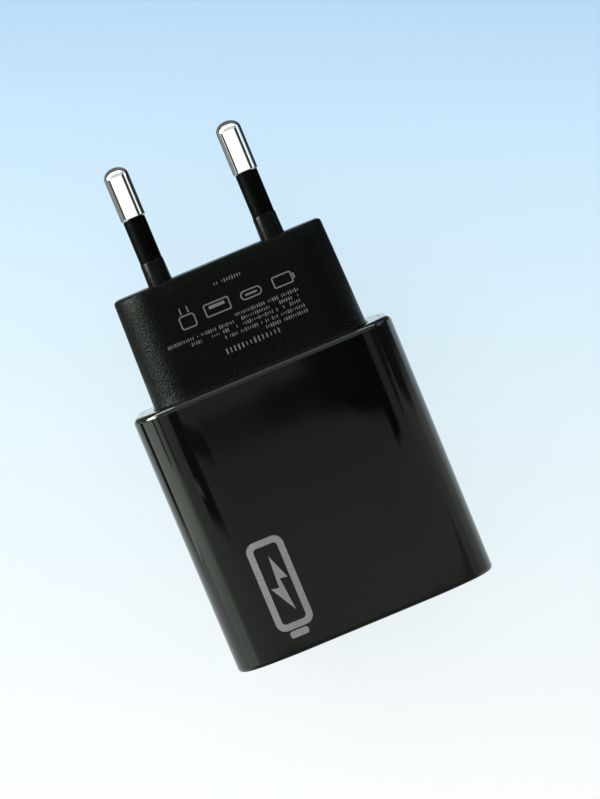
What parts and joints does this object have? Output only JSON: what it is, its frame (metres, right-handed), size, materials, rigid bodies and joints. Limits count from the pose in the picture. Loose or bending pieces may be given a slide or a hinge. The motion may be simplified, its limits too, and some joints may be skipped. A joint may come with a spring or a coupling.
{
  "type": "usb wall charger",
  "caption": "Pocket mains charger: glossy rounded body, matte plug block with round sleeved pins, and USB type A and type C ports in the end face.",
  "frame": {"origin": "under the middle of the whole length, on the surface that the back face rests on", "axes": "+Y the way the plug pins point, +Z out of the front face, X across the pins"},
  "size_m": [0.043, 0.08, 0.028],
  "materials": {
    "gloss_black": "high gloss moulded polycarbonate",
    "matte_black": "spark-eroded matte texture",
    "pin_nickel": "bright nickel plating",
    "sleeve_black": "satin moulded insulation",
    "port_steel": "bright nickel-plated steel sheet",
    "port_black": "matte moulded insulator",
    "contact_gold": "gold flash over copper alloy",
    "leaf_bronze": "tinned spring bronze",
    "board_green": "solder mask over glass laminate",
    "fuse_brown": "moulded case",
    "varistor_blue": "epoxy-coated disc",
    "film_yellow": "moulded case",
    "ferrite_grey": "ground ferrite",
    "copper_wire": "enamelled copper wire",
    "can_dark": "sleeved can",
    "can_bright": "bare drawn can",
    "seal_rubber": "rubber seal",
    "bobbin_grey": "moulded phenolic",
    "tape_yellow": "polyester tape over windings",
    "lead_tin": "tinned wire and solder",
    "chip_black": "moulded epoxy",
    "pad_blue": "soft thermal pad",
    "resistor_black": "glazed chip",
    "capacitor_tan": "fired chip",
    "sheet_white": "polyester sheet"
  },
  "bodies": {
    "root": {"outer_sleeve": "gloss_black", "plug_cover": "matte_black", "front_panel": "matte_black", "line_pin": "pin_nickel", "neutral_pin": "pin_nickel", "line_pin_sleeve": "sleeve_black", "neutral_pin_sleeve": "sleeve_black", "usb_a_shell": "port_steel", "usb_c_shell": "port_steel", "usb_a_tongue": "port_black", "usb_c_tongue": "port_black", "pin_retainer": "port_black", "choke_base": "port_black", "usb_a_contacts": "contact_gold", "usb_c_contacts": "contact_gold", "line_contact": "leaf_bronze", "neutral_contact": "leaf_bronze", "main_board": "board_green", "port_board": "board_green", "fuse": "fuse_brown", "varistor": "varistor_blue", "y_capacitor": "varistor_blue", "x_capacitor": "film_yellow", "choke_core": "ferrite_grey", "transformer_core_lower": "ferrite_grey", "transformer_core_upper": "ferrite_grey", "choke_windings": "copper_wire", "bulk_capacitor_front": "can_dark", "bulk_capacitor_rear": "can_dark", "output_capacitor_left": "can_bright", "output_capacitor_right": "can_bright", "bulk_capacitor_seals": "seal_rubber", "output_capacitor_seals": "seal_rubber", "transformer_bobbin": "bobbin_grey", "transformer_winding": "tape_yellow", "transformer_tape": "tape_yellow", "transformer_pins": "lead_tin", "component_leads": "lead_tin", "solder_joints": "lead_tin", "power_switch": "chip_black", "controller_chip": "chip_black", "bridge_rectifier": "chip_black", "optocoupler": "chip_black", "sync_rectifier": "chip_black", "protocol_chip": "chip_black", "thermal_pad": "pad_blue", "chip_resistors": "resistor_black", "chip_capacitors": "capacitor_tan", "insulation_sheet": "sheet_white"}
  },
  "joints": []
}
